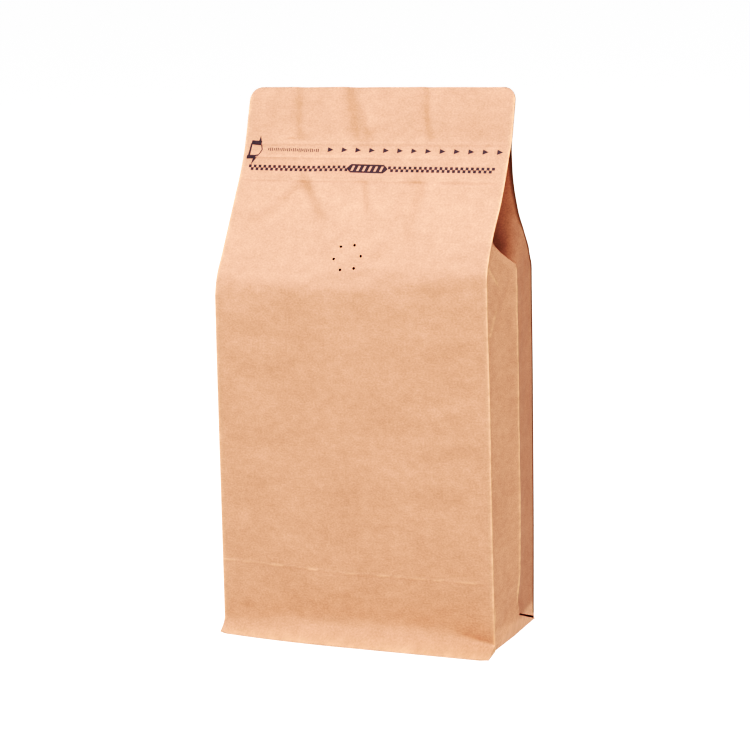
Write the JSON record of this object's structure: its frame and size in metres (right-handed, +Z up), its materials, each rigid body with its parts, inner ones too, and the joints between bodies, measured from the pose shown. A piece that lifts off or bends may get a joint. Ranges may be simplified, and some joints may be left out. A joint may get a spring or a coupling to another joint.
{
  "type": "coffee bag with valve",
  "caption": "Shut and filled flat-bottom coffee bag of kraft paper film, with side gussets, a flat sealed top, a printed zip band and a one-way valve under pinholes.",
  "frame": {"origin": "middle of the bag's box, at the floor that it stands on", "axes": "+Z up along the bag's height, front panel towards -Y, width along X"},
  "size_m": [0.142, 0.082, 0.2559],
  "materials": {
    "kraft_paper": "matt uncoated kraft paper, laminated to a film inside",
    "print_ink": "matt dark printing ink on the kraft paper"
  },
  "bodies": {
    "root": {"bag": "kraft_paper"}
  },
  "joints": []
}
